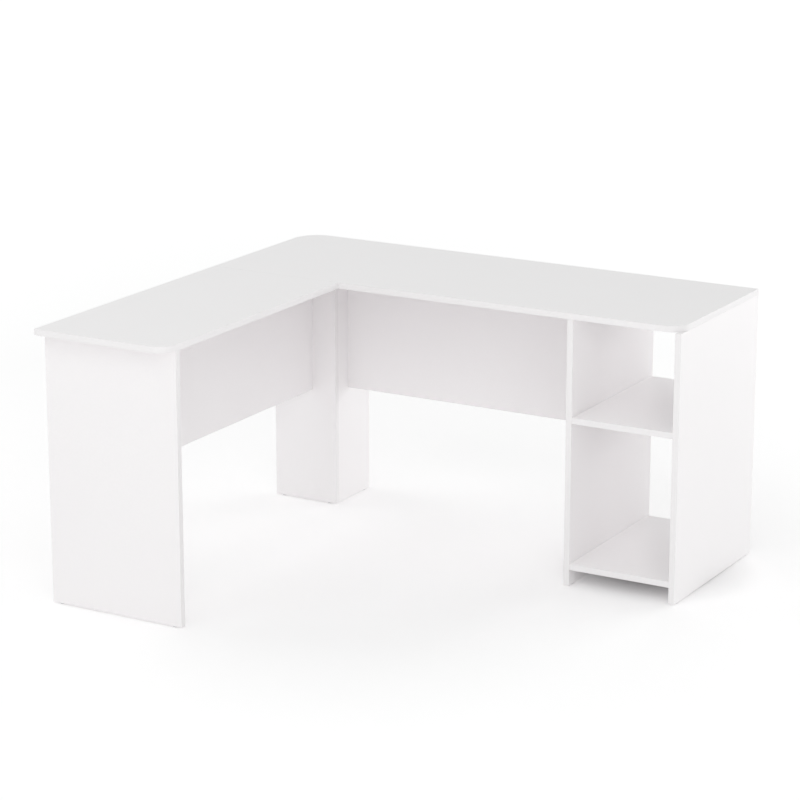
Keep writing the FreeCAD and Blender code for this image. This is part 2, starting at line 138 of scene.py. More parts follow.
COVER_RADIUS = 9 * MM
COVER_HEIGHT = 0.5 * MM
COVER_STEPS = 48
COVER_LEAD_IN = 0.1 * MM
COVER_LEAD_IN_HEIGHT = 0.12 * MM
COVER_RIM_START = 0.2 * MM
COVER_RIM_RUN = 0.6 * MM
DISH_BRIM = COVER_RADIUS - 1.6 * MM
DISH_FLOOR = COVER_RADIUS - 2.0 * MM
DISH_MIDDLE = 1.5 * MM
DISH_WALL = 0.14 * MM
DISH_DEPTH = 0.16 * MM

GLIDE_RADIUS = 7 * MM
GLIDE_HEIGHT = 3 * MM
GLIDE_ROUND = 1 * MM
GLIDE_ROUND_RUN = 1.4 * MM
GLIDE_CHAMFER = 0.4 * MM
GLIDE_STEPS = 36
NAIL_RADIUS = 1 * MM
NAIL_LENGTH = 14 * MM
NAIL_TAPER = 2 * MM

METAL = 1.5 * MM
METAL_HOLE = 2.1 * MM
METAL_CORNER = 4 * MM
METAL_CORNER_STEPS = 6
METAL_SOFTENING = 0.15 * MM
PLATE_SIZE = (20 * MM, 90 * MM)
PLATE_HOLES = (-35 * MM, -15 * MM, 15 * MM, 35 * MM)
BRACKET_LEG = 20 * MM
BRACKET_WIDTH = 40 * MM
BRACKET_BEND = 2 * METAL
BRACKET_BEND_STEPS = 4
BRACKET_HOLE_REACH = 12 * MM
BRACKET_HOLES = (-12 * MM, 12 * MM)

# The floor, which glows faintly: its glow rises from near to far over some distances from the
# desk's middle. Round a point under the tower's bottom shelf the glow is cut out, which paints a
# shade on the floor there, and it comes back in over some distances from that point
FLOOR_COLOUR = (0.852, 0.842, 0.847)
FLOOR_REACH = 40.0
GLOW_NEAR = 0.23
GLOW_FAR = 0.50
GLOW_DISTANCES = (2.5, 7.0)
PAINTED_SHADE_DISTANCES = (0.10, 0.27)

# The lights: a cool tint that balances the boards' warm white, the upward slope of the directions
# over which the horizon's light gives way to the zenith's, and the lights' sizes and places. Their
# powers are in watts, and a beam is in degrees.
LIGHT_TINT = (0.985, 1.0, 0.993)
SKY_FADE = (0.08, 0.42)
SOFTBOX_SIZE = (3.0, 2.0)
SOFTBOX_DISTANCE = 5.0
SOFTBOX_AIM_HEIGHT = 0.35
SHELF_LIGHT_SIZE = (0.16, 0.24)
SHELF_LIGHT_OFFSET = Vector((0.08, 0.50, 0.22))
SHELF_LIGHT_POWER = 0.17
SHELF_LIGHT_BEAM = 80

# The camera: where it stands round the middle of the desk, in degrees and metres, its lens in
# millimetres, and how far from that middle it aims
CAMERA_AZIMUTH = 29.74
CAMERA_ELEVATION = 16.44
CAMERA_DISTANCE = 7.202
CAMERA_LENS = 128.4
CAMERA_SENSOR = 36.0
CAMERA_FARTHEST = 200.0
CAMERA_AIM_OFFSET = Vector((-0.030, 0.019, 0.111))


# Material nodes -------------------------------------------------------------------------------

# Ranges: where most of a noise lies, how alike two directions are close to an edge and away from
# it, and which part of a noise makes the rubbed patches
USUAL_NOISE = (0.3, 0.7)
EDGE_LIKENESS = (0.72, 0.98)
RUBBED_PATCHES = (0.42, 0.62)
EDGE_SAMPLES = 4

# How fast the drawn lines on an edge band vary along them and across them
ALONG_LINES = 20.0
ACROSS_LINES = 1500.0


def set_range(node, low, high, to_low, to_high):
    """Plain numbers on the sockets of a range node."""
    sockets = ("From Min", "From Max", "To Min", "To Max")
    for socket, number in zip(sockets, (low, high, to_low, to_high)):
        node.inputs[socket].default_value = number


class Nodes:
    """Short calls for building one material's node tree."""

    def __init__(self, name):
        self.material = bpy.data.materials.new(name)
        self.material.use_nodes = True
        self.tree = self.material.node_tree
        self.tree.nodes.clear()
        self.shader = self.tree.nodes.new("ShaderNodeBsdfPrincipled")
        output = self.tree.nodes.new("ShaderNodeOutputMaterial")
        self.join(self.shader.outputs["BSDF"], output.inputs["Surface"])

    def join(self, start, end):
        """Link an output to an input."""
        self.tree.links.new(start, end)

    def place(self):
        """Position in the object's own metres."""
        return self.tree.nodes.new("ShaderNodeTexCoord").outputs["Object"]

    def fitting_place(self):
        """Position in a fastening's own frame, with its axis along Z."""
        node = self.tree.nodes.new("ShaderNodeAttribute")
        node.attribute_name = "fitting_place"
        return node.outputs["Vector"]

    def stretched(self, vector, scale):
        """A position scaled by a different amount along each axis."""
        node = self.tree.nodes.new("ShaderNodeMapping")
        node.inputs["Scale"].default_value = scale
        self.join(vector, node.inputs["Vector"])
        return node.outputs["Vector"]

    def shifted(self, vector, origin):
        """A position measured from another origin."""
        node = self.tree.nodes.new("ShaderNodeVectorMath")
        node.operation = "SUBTRACT"
        self.join(vector, node.inputs[0])
        node.inputs[1].default_value = origin
        return node.outputs["Vector"]

    def noise(self, vector, scale, detail, roughness=0.55):
        """Fractal noise between 0 and 1."""
        node = self.tree.nodes.new("ShaderNodeTexNoise")
        node.inputs["Scale"].default_value = scale
        node.inputs["Detail"].default_value = detail
        node.inputs["Roughness"].default_value = roughness
        self.join(vector, node.inputs["Vector"])
        return node.outputs["Fac"]

    def length(self, vector):
        """How long a vector is."""
        node = self.tree.nodes.new("ShaderNodeVectorMath")
        node.operation = "LENGTH"
        self.join(vector, node.inputs[0])
        return node.outputs["Value"]

    def span(self, value, low, high, to_low, to_high):
        """A value's range carried onto another range, and held at its ends."""
        node = self.tree.nodes.new("ShaderNodeMapRange")
        set_range(node, low, high, to_low, to_high)
        self.join(value, node.inputs["Value"])
        return node.outputs["Result"]

    def noise_span(self, value, to_low, to_high):
        """A noise's usual range carried onto another range."""
        return self.span(value, *USUAL_NOISE, to_low, to_high)

    def maths(self, operation, first, second):
        """Two values, or a value and a number, combined."""
        node = self.tree.nodes.new("ShaderNodeMath")
        node.operation = operation
        self.join(first, node.inputs[0])
        if isinstance(second, (int, float)):
            node.inputs[1].default_value = second
        else:
            self.join(second, node.inputs[1])
        return node.outputs["Value"]

    def blend(self, factor, first, second):
        """A colour between two, by a factor."""
        node = self.tree.nodes.new("ShaderNodeMix")
        node.data_type = "RGBA"
        for key, colour in (("A", first), ("B", second)):
            if isinstance(colour, tuple):
                node.inputs[key].default_value = (*colour, 1.0)
            else:
                self.join(colour, node.inputs[key])
        self.join(factor, node.inputs["Factor"])
        return node.outputs["Result"]

    def edge_rub(self, width, patches):
        """How rubbed the surface is: up to 1 close to an edge, in patches."""
        softened = self.tree.nodes.new("ShaderNodeBevel")
        softened.samples = EDGE_SAMPLES
        softened.inputs["Radius"].default_value = width
        flat = self.tree.nodes.new("ShaderNodeNewGeometry")
        likeness = self.tree.nodes.new("ShaderNodeVectorMath")
        likeness.operation = "DOT_PRODUCT"
        self.join(softened.outputs["Normal"], likeness.inputs[0])
        self.join(flat.outputs["Normal"], likeness.inputs[1])
        near_edge = self.span(likeness.outputs["Value"], *EDGE_LIKENESS, 1.0, 0.0)
        return self.maths("MULTIPLY", near_edge, self.span(patches, *RUBBED_PATCHES, 0.0, 1.0))

    def bump(self, height, distance, strength):
        """Raise the surface by a height of up to a distance, in metres."""
        node = self.tree.nodes.new("ShaderNodeBump")
        node.inputs["Strength"].default_value = strength
        node.inputs["Distance"].default_value = distance
        self.join(height, node.inputs["Height"])
        self.join(node.outputs["Normal"], self.shader.inputs["Normal"])

    def colour(self, value):
        """Base colour from a node."""
        self.join(value, self.shader.inputs["Base Color"])

    def roughness(self, value):
        """Roughness from a node."""
        self.join(value, self.shader.inputs["Roughness"])

    def set(self, **values):
        """Plain numbers on the shader's own sockets."""
        for key, value in values.items():
            self.shader.inputs[key.replace("_", " ")].default_value = value


# Materials ------------------------------------------------------------------------------------

def melamine():
    """White melamine facing: a fine pebble in the gloss, a faint cloudiness in the tone, a haze
    of handling on the gloss, and edges rubbed a little greyer and smoother."""
    m = Nodes("white_melamine")
    place = m.place()
    duller = (0.928, 0.904, 0.912)
    whiter = (0.942, 0.920, 0.927)
    rubbed = (0.84, 0.815, 0.805)
    cloud = m.noise_span(m.noise(place, scale=3.2, detail=4.0), 0.0, 1.0)
    flecks = m.span(m.noise(place, scale=260.0, detail=2.0), 0.35, 0.65, 0.0, 1.0)
    paper = m.blend(m.maths("MULTIPLY", cloud, flecks), duller, whiter)
    rub = m.edge_rub(1.6 * MM, m.noise(place, scale=45.0, detail=4.0))
    m.colour(m.blend(m.maths("MULTIPLY", rub, 0.5), paper, rubbed))
    haze = m.noise_span(m.noise(place, scale=14.0, detail=5.0, roughness=0.65), 0.30, 0.40)
    m.roughness(m.maths("SUBTRACT", haze, m.maths("MULTIPLY", rub, 0.1)))
    pebble = m.noise(place, scale=900.0, detail=2.0)
    press_wave = m.noise(place, scale=28.0, detail=1.0)
    surface = m.maths("ADD", pebble, m.maths("MULTIPLY", press_wave, 0.6))
    m.bump(surface, distance=0.06 * MM, strength=0.5)
    m.set(IOR=1.5)
    return m.material


def edge_band(name, along):
    """Plastic edge band: glossier than the boards, with fine drawn lines along its length."""
    m = Nodes(name)
    place = m.place()
    duller = (0.872, 0.852, 0.858)
    whiter = (0.888, 0.868, 0.874)
    rubbed = (0.81, 0.79, 0.78)
    cloud = m.noise_span(m.noise(place, scale=6.0, detail=3.0), 0.0, 1.0)
    plastic = m.blend(cloud, duller, whiter)
    rub = m.edge_rub(0.9 * MM, m.noise(place, scale=60.0, detail=4.0))
    m.colour(m.blend(m.maths("MULTIPLY", rub, 0.4), plastic, rubbed))
    lines = m.noise(m.stretched(place, along), scale=60.0, detail=3.0)
    m.roughness(m.noise_span(lines, 0.27, 0.40))
    m.bump(lines, distance=0.04 * MM, strength=0.5)
    m.set(IOR=1.5)
    return m.material


def moulded(name, dark, light, gloss):
    """Injection-moulded plastic: a fine spark-eroded grain and small scuffs in the gloss. The
    gloss is the roughness where it isn't scuffed."""
    m = Nodes(name)
    place = m.place()
    cloud = m.noise_span(m.noise(place, scale=90.0, detail=3.0), 0.0, 1.0)
    m.colour(m.blend(cloud, dark, light))
    scuffs = m.noise(place, scale=420.0, detail=4.0, roughness=0.7)
    m.roughness(m.noise_span(scuffs, gloss, gloss + 0.14))
    grain = m.noise(place, scale=2600.0, detail=2.0)
    m.bump(grain, distance=0.03 * MM, strength=0.6)
    m.set(IOR=1.48)
    return m.material


def beech():
    """Raw beech: pale brown with long grain, and short darker flecks along it."""
    m = Nodes("beech")
    place = m.fitting_place()
    late_wood = (0.52, 0.34, 0.19)
    early_wood = (0.74, 0.55, 0.36)
    fleck_colour = (0.36, 0.20, 0.10)
    grain = m.noise(m.stretched(place, (1.0, 1.0, 0.06)), scale=900.0, detail=5.0)
    flecks = m.noise(m.stretched(place, (1.0, 1.0, 0.16)), scale=2400.0, detail=1.0)
    wood = m.blend(m.noise_span(grain, 0.0, 1.0), late_wood, early_wood)
    m.colour(m.blend(m.span(flecks, 0.62, 0.70, 0.0, 0.7), wood, fleck_colour))
    m.roughness(m.noise_span(grain, 0.72, 0.58))
    m.bump(grain, distance=0.08 * MM, strength=0.7)
    return m.material


def turned_steel():
    """Bright zinc-plated steel with fine turning marks round each fastening's axis."""
    m = Nodes("bright_steel")
    place = m.fitting_place()
    bright = (0.80, 0.81, 0.83)
    stained = (0.68, 0.69, 0.73)
    marks = m.noise(m.stretched(place, (0.12, 0.12, 1.0)), scale=7000.0, detail=2.0)
    stain = m.span(m.noise(place, scale=500.0, detail=3.0), 0.35, 0.7, 0.0, 1.0)
    m.colour(m.blend(stain, bright, stained))
    m.roughness(m.noise_span(marks, 0.22, 0.38))
    m.bump(marks, distance=0.02 * MM, strength=0.5)
    m.set(Metallic=1.0)
    return m.material


def plated_sheet():
    """Zinc-plated sheet steel: rolling lines, a cloudy bluish plating and brighter rubbed edges."""
    m = Nodes("plated_steel")
    place = m.place()
    bluish = (0.60, 0.62, 0.66)
    bright = (0.74, 0.75, 0.76)
    rubbed = (0.86, 0.86, 0.85)
    rolling = m.noise(m.stretched(place, (1.0, 0.05, 1.0)), scale=1800.0, detail=3.0)
    cloud = m.noise_span(m.noise(place, scale=120.0, detail=4.0), 0.0, 1.0)
    rub = m.edge_rub(0.5 * MM, m.noise(place, scale=300.0, detail=3.0))
    m.colour(m.blend(rub, m.blend(cloud, bluish, bright), rubbed))
    m.roughness(m.noise_span(rolling, 0.30, 0.48))
    m.bump(rolling, distance=0.02 * MM, strength=0.5)
    m.set(Metallic=1.0)
    return m.material


def cast_zinc():
    """Die-cast zinc: dull grey, grainy, and brighter where tumbling has rubbed the edges."""
    m = Nodes("cast_zinc")
    place = m.place()
    dark = (0.50, 0.51, 0.53)
    light = (0.63, 0.64, 0.65)
    rubbed = (0.78, 0.78, 0.79)
    skin = m.noise(place, scale=1400.0, detail=4.0)
    rub = m.edge_rub(0.4 * MM, m.noise(place, scale=600.0, detail=2.0))
    m.colour(m.blend(rub, m.blend(m.noise_span(skin, 0.0, 1.0), dark, light), rubbed))
    m.roughness(m.noise_span(skin, 0.60, 0.42))
    m.bump(skin, distance=0.05 * MM, strength=0.6)
    m.set(Metallic=1.0)
    return m.material


# Reading the CAD nodes ------------------------------------------------------------------------

def solids(node):
    """The points of each separate solid in a CAD node."""
    shape = bmesh.new()
    shape.from_mesh(frame["nodes"][node].data)
    bmesh.ops.remove_doubles(shape, verts=shape.verts, dist=TINY)
    shape.verts.index_update()
    seen = set()
    groups = []
    for start in shape.verts:
        if start.index in seen:
            continue
        seen.add(start.index)
        group = [start]
        for vert in group:
            for edge in vert.link_edges:
                other = edge.other_vert(vert)
                if other.index not in seen:
                    seen.add(other.index)
                    group.append(other)
        groups.append([vert.co.copy() for vert in group])
    shape.free()
    return groups


def box_of(points):
    """Lowest and highest corner of some points."""
    low = Vector([min(point[axis] for point in points) for axis in range(3)])
    high = Vector([max(point[axis] for point in points) for axis in range(3)])
    return low, high


def axis_vector(axis, sign=1):
    """A unit vector along an axis."""
    vector = Vector((0, 0, 0))
    vector[axis] = sign
    return vector


def axes_by_size(low, high):
    """The three axes, from the box's shortest side to its longest."""
    return sorted(range(3), key=lambda axis: high[axis] - low[axis])


def placed(origin, along):
    """A matrix that stands a fastening's Z along a direction at a point."""
    return Matrix.Translation(origin) @ along.to_track_quat("Z", "Y").to_matrix().to_4x4()


# Mesh helpers ---------------------------------------------------------------------------------

def mesh_from(name, points, faces):
    """A closed mesh from points and faces, smooth apart from its sharp edges."""
    shape = bmesh.new()
    verts = [shape.verts.new(point) for point in points]
    for face in faces:
        shape.faces.new([verts[corner] for corner in face])
    bmesh.ops.recalc_face_normals(shape, faces=shape.faces)
    mesh = bpy.data.meshes.new(name)
    shape.to_mesh(mesh)
    shape.free()
    smooth_but_sharp(mesh)
    return mesh


def smooth_but_sharp(mesh):
    """Smooth shading that breaks at sharp edges."""
    mesh.shade_smooth()
    mesh.set_sharp_from_angle(angle=math.radians(SHARP_ANGLE))


def add_piece(name, mesh, material, node):
    """A piece on the desk that stands for a CAD node."""
    mesh.materials.append(material)
    piece = bpy.data.objects.new(name, mesh)
    bpy.context.scene.collection.objects.link(piece)
    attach(piece, "root")
    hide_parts(node)


def turned(name, rows, steps):
    """A solid turned about Z. Each row is a height and a radius, or a height and a function that
    gives the radius at a fraction of the turn."""
    points = []
    for height, radius in rows:
        for step in range(steps):
            turn = step / steps
            reach = radius(turn) if callable(radius) else radius
            angle = 2 * math.pi * turn
            points.append((reach * math.cos(angle), reach * math.sin(angle), height))
    faces = []
    for row in range(len(rows) - 1):
        for step in range(steps):
            after = (step + 1) % steps
            here, above = row * steps, (row + 1) * steps
            faces.append((here + step, here + after, above + after, above + step))
    for row in (0, len(rows) - 1):
        points.append((0, 0, rows[row][0]))
        centre = len(points) - 1
        for step in range(steps):
            faces.append((row * steps + step, row * steps + (step + 1) % steps, centre))
    return mesh_from(name, points, faces)


def helix(core, crest, pitch, start, end):
    """Rows of a screw thread that climbs once round in each pitch and fades at its ends."""
    rows = []
    count = round((end - start) / pitch * ROWS_PER_PITCH)
    for number in range(count + 1):
        height = start + (end - start) * number / count
        fade = min(1, number / ROWS_PER_PITCH, (count - number) / ROWS_PER_PITCH)

        def radius(turn, height=height, fade=fade):
            phase = (height / pitch - turn) % 1
            ridge = max(0, 1 - abs(phase - 0.5) / RIDGE_HALF_WIDTH)
            return core + (crest - core) * ridge * fade
        rows.append((height, radius))
    return rows


def arc_rows(height, radius, rise, run):
    """Rows round a quarter of an ellipse, from a rim inwards and along Z."""
    rows = []
    for number in range(ARC_STEPS + 1):
        angle = math.pi / 2 * number / ARC_STEPS
        rows.append((height + rise * math.sin(angle), radius - run * (1 - math.cos(angle))))
    return rows


def copies(name, prototype, places):
    """One mesh of a fastening's copies, each point knowing its place in the fastening's frame."""
    joined = bmesh.new()
    own_places = []
    for place in places:
        copy = prototype.copy()
        for vert in copy.vertices:
            own_places.extend(vert.co)
        copy.transform(place)
        joined.from_mesh(copy)
        bpy.data.meshes.remove(copy)
    mesh = bpy.data.meshes.new(name)
    joined.to_mesh(mesh)
    joined.free()
    attribute = mesh.attributes.new("fitting_place", "FLOAT_VECTOR", "POINT")
    attribute.data.foreach_set("vector", own_places)
    return mesh


def cut_and_softened(name, base, tools, width):
    """A mesh with tools cut out of it and its edges softened by a width."""
    body = bpy.data.objects.new(name, base)
    bpy.context.scene.collection.objects.link(body)
    cutters = []
    for tool in tools:
        cutter = bpy.data.objects.new(f"{name}_cutter", tool)
        bpy.context.scene.collection.objects.link(cutter)
        cutters.append(cutter)
        cut = body.modifiers.new("cut", "BOOLEAN")
        cut.operation = "DIFFERENCE"
        cut.solver = "EXACT"
        cut.object = cutter
    soften = body.modifiers.new("soften", "BEVEL")
    soften.width = width
    soften.segments = SOFTENING_STEPS
    soften.limit_method = "ANGLE"
    soften.angle_limit = math.radians(SOFTENED_ANGLE)
    soften.use_clamp_overlap = False
    depsgraph = bpy.context.evaluated_depsgraph_get()
    result = bpy.data.meshes.new_from_object(body.evaluated_get(depsgraph))
    for thing in [body] + cutters:
        bpy.data.objects.remove(thing)
    smooth_but_sharp(result)
    return result


def rod(radius, low, high, at, axis=2):
    """A round cutter along an axis, between two levels, at a place on the other two axes."""
    mesh = turned("rod", [(low, radius), (high, radius)], ROUND_STEPS)
    shifted = Matrix.Translation((at[0], at[1], 0))
    if axis == 0:
        shifted = Matrix.Translation((0, at[0], at[1])) @ Matrix.Rotation(math.pi / 2, 4, "Y")
    mesh.transform(shifted)
    return mesh


# Edge bands -----------------------------------------------------------------------------------

def band_section(thick, wide):
    """A band's cross-section, as depths behind its outer face and heights across it: two rounded
    outer edges, and a fine joint line along each inner one."""
    section = []
    for level, first in ((BAND_ROUND, 270), (wide - BAND_ROUND, 180)):
        for step in range(BAND_ROUND_STEPS + 1):
            angle = math.radians(first - 90 * step / BAND_ROUND_STEPS)
            depth = BAND_ROUND * (1 + math.cos(angle))
            section.append((depth, level + BAND_ROUND * math.sin(angle)))
    section += [
        (thick - JOINT_LINE, wide),
        (thick, wide - JOINT_LINE),
        (thick, JOINT_LINE),
        (thick - JOINT_LINE, 0),
    ]
    return section


def outline(low, high, corners, inset):
    """Points round a rectangle with some rounded corners, set in by a depth."""
    places = [
        (low.x, low.y, 1, 1, 180),
        (high.x, low.y, -1, 1, 270),
        (high.x, high.y, -1, -1, 0),
        (low.x, high.y, 1, -1, 90),
    ]
    points = []
    for (x, y, to_x, to_y, first), radius in zip(places, corners):
        if radius == 0:
            points.append((x + to_x * inset, y + to_y * inset))
            continue
        for step in range(CORNER_STEPS + 1):
            angle = math.radians(first + 90 * step / CORNER_STEPS)
            reach = radius - inset
            points.append((x + to_x * radius + reach * math.cos(angle),
                           y + to_y * radius + reach * math.sin(angle)))
    return points


def top_band(top):
    """The band that runs all the way round a top."""
    low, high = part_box(f"{top}_edge_band")
    points = []
    section = band_section(BAND_THICKNESS, high.z - low.z)
    for inset, level in section:
        points += [(x, y, low.z + level) for x, y in outline(low, high, TOP_CORNERS[top], inset)]
    rings = len(section)
    around = len(points) // rings
    faces = []
    for ring in range(rings):
        for step in range(around):
            here, there = ring * around, (ring + 1) % rings * around
            after = (step + 1) % around
            faces.append((here + step, here + after, there + after, there + step))
    return mesh_from(f"{top}_rounded_band", points, faces)


def straight_bands(board):
    """The straight strips on a board's edges."""
    board_low, board_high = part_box(board)
    middle = (board_low + board_high) / 2
    points = []
    faces = []
    for low, high in map(box_of, solids(f"{board}_edge_band")):
        thin, across, along = axes_by_size(low, high)
        inward = 1 if middle[thin] > high[thin] else -1
        corner = low.copy()
        corner[thin] = low[thin] if inward > 0 else high[thin]
        section = band_section(high[thin] - low[thin], high[across] - low[across])
        first = len(points)
        for travel in (0, high[along] - low[along]):
            for inset, level in section:
                points.append(corner + axis_vector(thin, inward) * inset
                              + axis_vector(across) * level + axis_vector(along) * travel)
        count = len(section)
        near = [first + number for number in range(count)]
        far = [number + count for number in near]
        faces += [near, far]
        for number in range(count):
            after = (number + 1) % count
            faces.append((near[number], near[after], far[after], far[number]))
    return mesh_from(f"{board}_rounded_band", points, faces)


def edge_bands(level_band, upright_band):
    """Rounded bands in place of the CAD's plain ones."""
    for node in sorted(frame["nodes"]):
        if not node.endswith("_edge_band"):
            continue
        board = node.removesuffix("_edge_band")
        low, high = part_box(board)
        upright = axes_by_size(low, high)[2] == 2
        mesh = top_band(board) if board in TOP_CORNERS else straight_bands(board)
        add_piece(f"{board}_rounded_band", mesh, upright_band if upright else level_band,
                  node)


# Fastenings -----------------------------------------------------------------------------------

def blade(length, thick, top, bottom):
    """One arm of a cross recess: a flat blade that narrows towards its bottom."""
    points = []
    for level, reach in ((top, length / 2), (bottom, length / 4)):
        points += [(-reach, -thick / 2, level), (reach, -thick / 2, level),
                   (reach, thick / 2, level), (-reach, thick / 2, level)]
    faces = [(0, 1, 2, 3), (4, 5, 6, 7)]
    faces += [(side, (side + 1) % 4, (side + 1) % 4 + 4, side + 4) for side in range(4)]
    return mesh_from("blade", points, faces)


def screw_shape():
    """A pan-head screw that enters along +Z: cross recess, thread and point."""
    rim_to_crown = SCREW_HEAD_RIM - SCREW_HEAD_HEIGHT
    rows = arc_rows(-SCREW_HEAD_RIM, SCREW_HEAD, rim_to_crown, SCREW_HEAD / 2)[::-1]
    rows += [(0, SCREW_HEAD), (0, SCREW_CREST), (SCREW_NECK, SCREW_CORE)]
    rows += helix(SCREW_CORE, SCREW_CREST, SCREW_PITCH, SCREW_THREAD_START, SCREW_THREAD_END)
    rows += [(SCREW_TAPER_START, SCREW_TAPER_RADIUS), (SCREW_LENGTH, POINT_RADIUS)]
    body = turned("screw_body", rows, ROUND_STEPS)
    arms = []
    for quarter in range(2):
        arm = blade(RECESS_LENGTH, RECESS_WIDTH, RECESS_TOP, RECESS_BOTTOM)
        arm.transform(Matrix.Rotation(quarter * math.pi / 2, 4, "Z"))
        arms.append(arm)
    return cut_and_softened("screw", body, arms, SCREW_SOFTENING)


def bolt_shape():
    """A cam bolt: coarse thread below Z 0, a collar, a smooth shank, a neck and a round head."""
    thread_start = BOLT_THREAD_INSET - BOLT_THREAD_LENGTH
    rows = [(-BOLT_THREAD_LENGTH, BOLT_END_RADIUS), (BOLT_COLLAR - BOLT_THREAD_LENGTH, BOLT_CORE)]
    rows += helix(BOLT_CORE, BOLT_CREST, BOLT_PITCH, thread_start, -BOLT_THREAD_INSET)
    rows += [
        (-BOLT_COLLAR, BOLT_CORE),
        (-BOLT_COLLAR, BOLT_CREST),
        (0, BOLT_CREST),
        (0, BOLT_SHANK),
        (BOLT_HEAD_START - BOLT_NECK_LENGTH - BOLT_NECK_SLOPE, BOLT_SHANK),
        (BOLT_HEAD_START - BOLT_NECK_LENGTH, BOLT_NECK),
        (BOLT_HEAD_START, BOLT_NECK),
        (BOLT_HEAD_START + BOLT_NECK_SLOPE, BOLT_CREST - BOLT_HEAD_EDGE),
        (BOLT_HEAD_START + 2 * BOLT_NECK_SLOPE, BOLT_CREST),
    ]
    rows += arc_rows(BOLT_REACH - BOLT_HEAD_ROUND, BOLT_CREST, BOLT_HEAD_ROUND, BOLT_HEAD_ROUND)
    return turned("cam_bolt", rows, ROUND_STEPS)


def dowel_shape():
    """A fluted dowel with chamfered ends, about its own middle."""

    def fluted(turn):
        hollow = 0.5 - 0.5 * math.cos(2 * math.pi * DOWEL_FLUTES * turn)
        return DOWEL_RADIUS - DOWEL_FLUTE_DEPTH * hollow ** 2

    half = DOWEL_LENGTH / 2
    inner = half - DOWEL_CHAMFER_LENGTH
    end = DOWEL_RADIUS - DOWEL_CHAMFER_DEPTH
    rows = [(-half, end), (-inner, fluted), (inner, fluted), (half, end)]
    return turned("dowel", rows, STEPS_PER_FLUTE * DOWEL_FLUTES)


def cover_shape():
    """A push-in cover: a thin disc with a rounded rim and a shallow dish."""
    rim_height = COVER_HEIGHT - COVER_RIM_START
    rows = [(0, COVER_RADIUS - COVER_LEAD_IN), (COVER_LEAD_IN_HEIGHT, COVER_RADIUS)]
    rows += arc_rows(COVER_RIM_START, COVER_RADIUS, rim_height, COVER_RIM_RUN)[1:]
    rows += [
        (COVER_HEIGHT, DISH_BRIM),
        (COVER_HEIGHT - DISH_WALL, DISH_FLOOR),
        (COVER_HEIGHT - DISH_DEPTH, DISH_MIDDLE),
    ]
    return turned("cover", rows, COVER_STEPS)


def glide_shape():
    """A nail-in glide below Z 0: a rounded pad and a pointed nail."""
    rows = arc_rows(GLIDE_ROUND - GLIDE_HEIGHT, GLIDE_RADIUS, -GLIDE_ROUND, GLIDE_ROUND_RUN)[::-1]
    rows += [
        (-GLIDE_CHAMFER, GLIDE_RADIUS),
        (0, GLIDE_RADIUS - GLIDE_CHAMFER),
        (0, NAIL_RADIUS),
        (NAIL_LENGTH - NAIL_TAPER, NAIL_RADIUS),
        (NAIL_LENGTH, POINT_RADIUS),
    ]
    return turned("glide", rows, GLIDE_STEPS)


def sheet_part(name, section, wide):
    """A length of bent sheet, wide along Y, with the corners at its tips rounded. The section is
    a list of X and Z."""
    count = len(section)
    points = [(x, side * wide / 2, z) for side in (-1, 1) for x, z in section]
    faces = [tuple(range(count)), tuple(range(count, 2 * count))]
    for number in range(count):
        after = (number + 1) % count
        faces.append((number, after, count + after, count + number))
    shape = bmesh.new()
    verts = [shape.verts.new(point) for point in points]
    for face in faces:
        shape.faces.new([verts[corner] for corner in face])
    bmesh.ops.recalc_face_normals(shape, faces=shape.faces)
    tips = [edge for edge in shape.edges if abs(edge.calc_length() - METAL) < TINY]
    bmesh.ops.bevel(shape, geom=tips, offset=METAL_CORNER, segments=METAL_CORNER_STEPS, profile=0.5,
                    affect="EDGES")
    mesh = bpy.data.meshes.new(name)
    shape.to_mesh(mesh)
    shape.free()
    return mesh


def plate_shape():
    """A flat seam plate below Z 0, long in Y, with four screw holes."""
    half = PLATE_SIZE[0] / 2
    section = [(-half, 0), (half, 0), (half, -METAL), (-half, -METAL)]
    blank = sheet_part("plate_blank", section, PLATE_SIZE[1])
    holes = [rod(METAL_HOLE, -2 * METAL, METAL, at=(0, y)) for y in PLATE_HOLES]
    return cut_and_softened("seam_plate", blank, holes, METAL_SOFTENING)


def bend_arc(reach):
    """Points round a bracket's bend, from its upper leg to its hanging one."""
    arc = []
    for step in range(BRACKET_BEND_STEPS + 1):
        angle = math.radians(90 + 90 * step / BRACKET_BEND_STEPS)
        arc.append((BRACKET_BEND + reach * math.cos(angle), reach * math.sin(angle) - BRACKET_BEND))
    return arc


def bracket_shape():
    """An angle bracket: one leg along +X under Z 0, one down at X 0, and a rounded bend."""
    outer = bend_arc(BRACKET_BEND)
    inner = bend_arc(BRACKET_BEND - METAL)
    hanging_tip = [(0, -BRACKET_LEG), (METAL, -BRACKET_LEG)]
    section = [(BRACKET_LEG, 0)] + outer + hanging_tip + inner[::-1] + [(BRACKET_LEG, -METAL)]
    blank = sheet_part("bracket_blank", section, BRACKET_WIDTH)
    holes = []
    for y in BRACKET_HOLES:
        holes.append(rod(METAL_HOLE, -2 * METAL, METAL, at=(BRACKET_HOLE_REACH, y)))
        holes.append(rod(METAL_HOLE, -METAL, 2 * METAL, axis=0, at=(y, -BRACKET_HOLE_REACH)))
    return cut_and_softened("angle_bracket", blank, holes, METAL_SOFTENING)


def middle_of(points):
    """The middle of the points' box."""
    low, high = box_of(points)
    return (low + high) / 2


def nearest(point, others):
    """The nearest of some other points."""
    return min(others, key=lambda other: (other - point).length)


def screw_places():
    """Where each screw's head meets what it holds, facing the way that it enters."""
    places = []
    for points in solids("wood_screws"):
        low, high = box_of(points)
        middle = (low + high) / 2
        axis = axes_by_size(low, high)[2]
        rim = max(points, key=lambda point: axis_vector(axis).cross(point - middle).length)
        sign = 1 if rim[axis] < middle[axis] else -1
        origin = middle.copy()
        origin[axis] = (low if sign > 0 else high)[axis] + sign * SCREW_HEAD_HEIGHT
        places.append(placed(origin, axis_vector(axis, sign)))
    return places


